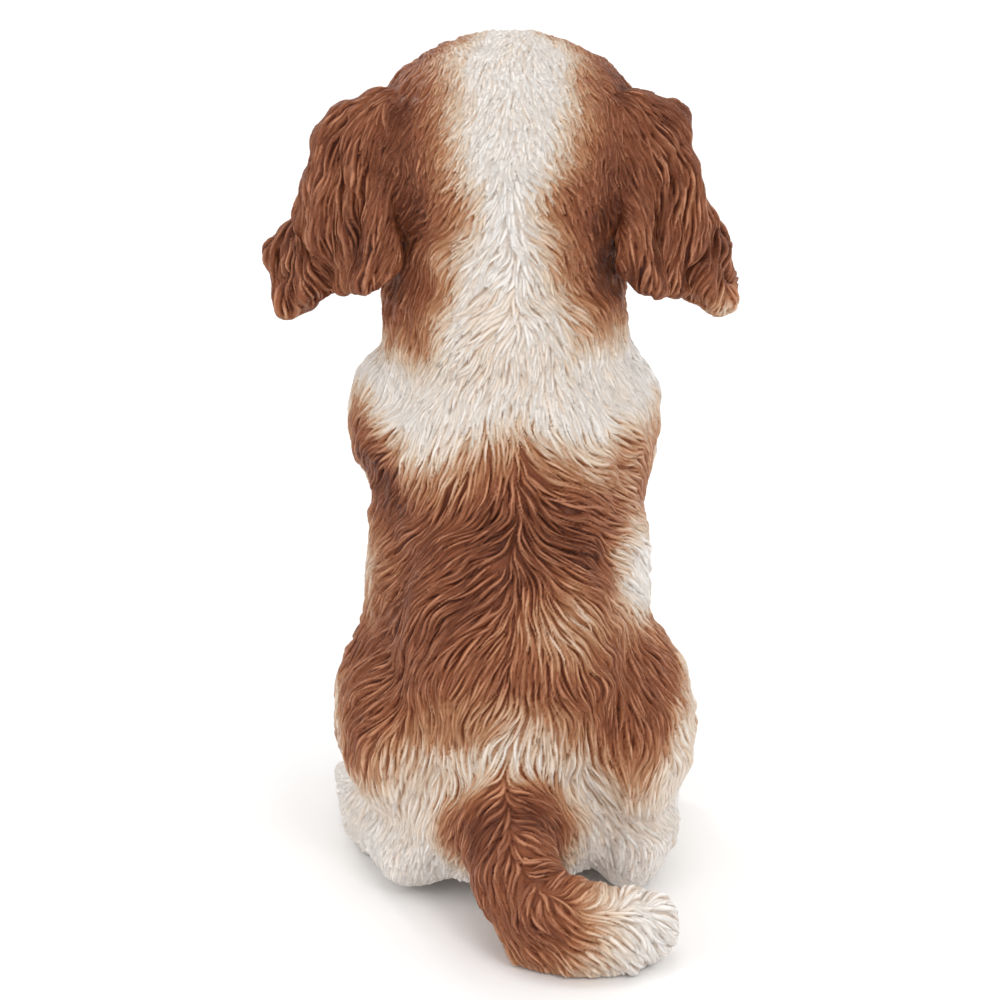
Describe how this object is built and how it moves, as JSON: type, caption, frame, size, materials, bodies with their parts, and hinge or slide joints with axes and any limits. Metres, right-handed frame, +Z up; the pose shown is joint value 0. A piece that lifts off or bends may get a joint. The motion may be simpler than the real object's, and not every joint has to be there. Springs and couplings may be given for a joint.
{
  "type": "ceramic dog figurine",
  "caption": "Hand-painted ceramic figurine of a sitting long-eared spaniel puppy with a sculpted brown and white coat and its tail curled to one side.",
  "frame": {"origin": "bottom centre of the whole figurine's box, on the surface it stands on", "axes": "+Z up, -Y the way the puppy looks, +X its own left side"},
  "size_m": [0.0944, 0.118, 0.164],
  "materials": {
    "painted_coat": "hand-painted white and chestnut brown over sculpted fur, satin clear coat",
    "painted_ears": "hand-painted chestnut brown over sculpted fur, satin clear coat",
    "eye_glass": "polished dark brown glass",
    "plug_rubber": "matt soft rubber",
    "pad_felt": "pressed felt"
  },
  "bodies": {
    "root": {"torso": "painted_coat", "head": "painted_coat", "foreleg_left": "painted_coat", "foreleg_right": "painted_coat", "hind_leg_left": "painted_coat", "hind_leg_right": "painted_coat", "tail": "painted_coat", "ear_left": "painted_ears", "ear_right": "painted_ears", "eye_left": "eye_glass", "eye_right": "eye_glass", "vent_plug": "plug_rubber", "felt_pad_foreleg_left": "pad_felt", "felt_pad_foreleg_right": "pad_felt", "felt_pad_hind_leg_left": "pad_felt", "felt_pad_hind_leg_right": "pad_felt", "felt_pad_tail": "pad_felt"}
  },
  "joints": []
}
